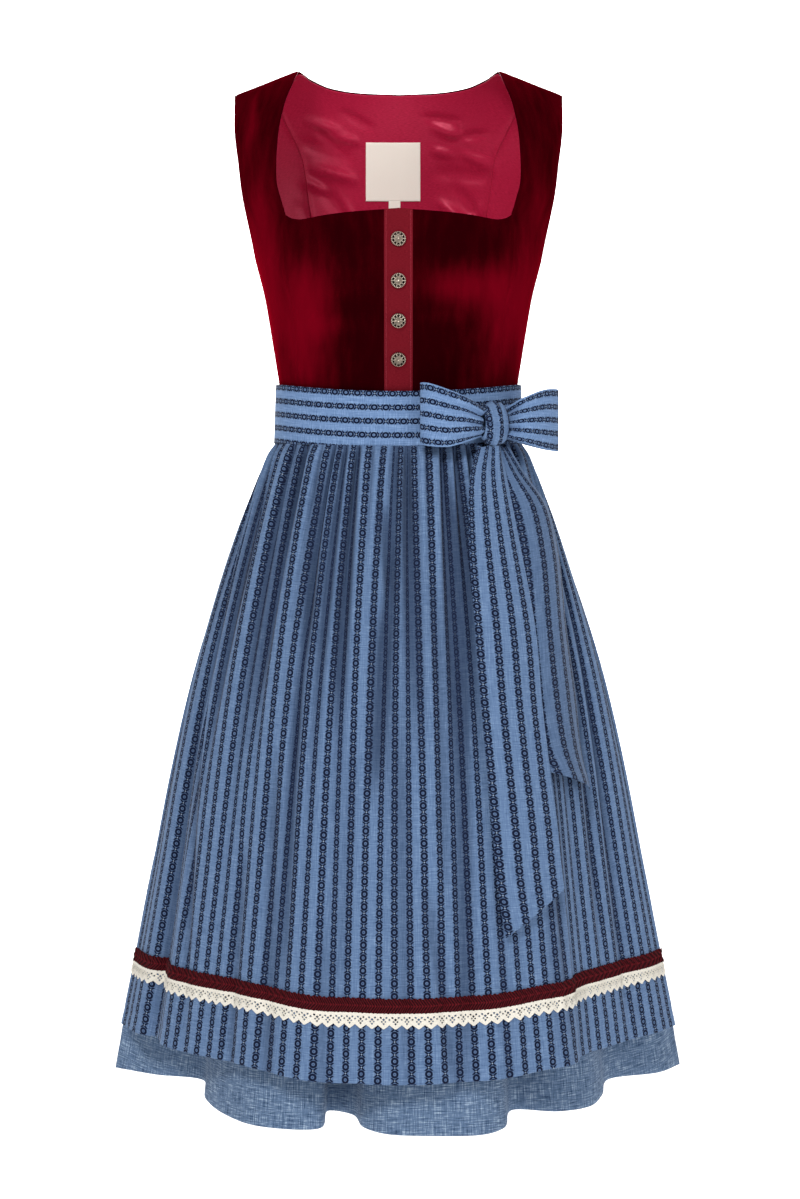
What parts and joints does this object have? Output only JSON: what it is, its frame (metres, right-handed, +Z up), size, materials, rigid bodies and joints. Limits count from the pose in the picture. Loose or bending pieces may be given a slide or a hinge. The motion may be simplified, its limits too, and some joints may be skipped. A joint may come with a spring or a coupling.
{
  "type": "dirndl",
  "caption": "Sleeveless velvet dirndl dress with square neck, buttoned placket, gathered chambray skirt and striped apron tied in a bow, hollow as worn.",
  "frame": {"origin": "midway between the two points where the shoulder seams meet the neckline, where the wearer's shoulders hold it up", "axes": "+Z up, -Y towards the front of the dress, +X towards the wearer's left"},
  "size_m": [0.5661, 0.476, 1.0059],
  "materials": {
    "velvet": "crimson cotton velvet with a short pile",
    "lining": "crimson satin-faced viscose",
    "placket_cotton": "burgundy twill cotton",
    "antique_silver": "antique silver with dark recesses",
    "chambray": "blue melange chambray, matt",
    "apron_cloth": "woven cotton with navy figured stripes on mid blue",
    "braid": "burgundy looped braid",
    "lace": "ivory scalloped cotton lace",
    "label_cloth": "cream woven label, blank"
  },
  "bodies": {
    "root": {"bodice_front_centre_left": "velvet", "bodice_side_front_left": "velvet", "bodice_side_back_left": "velvet", "lining_side_back_left": "lining", "bodice_front_centre_right": "velvet", "bodice_side_front_right": "velvet", "bodice_side_back_right": "velvet", "lining_side_back_right": "lining", "bodice_back_centre": "velvet", "lining_back_centre": "lining", "placket": "placket_cotton", "label": "label_cloth", "size_tab": "label_cloth", "button_1": "antique_silver", "button_2": "antique_silver", "button_3": "antique_silver", "button_4": "antique_silver", "skirt_front_right": "chambray", "skirt_front_left": "chambray", "skirt_back_left": "chambray", "skirt_back_right": "chambray", "apron": "apron_cloth", "braid": "braid", "lace": "lace", "waistband_front": "apron_cloth", "waistband_back": "apron_cloth", "bow_knot": "apron_cloth", "bow_loop_left": "apron_cloth", "bow_loop_right": "apron_cloth", "bow_tail_front": "apron_cloth", "bow_tail_back": "apron_cloth"}
  },
  "joints": []
}
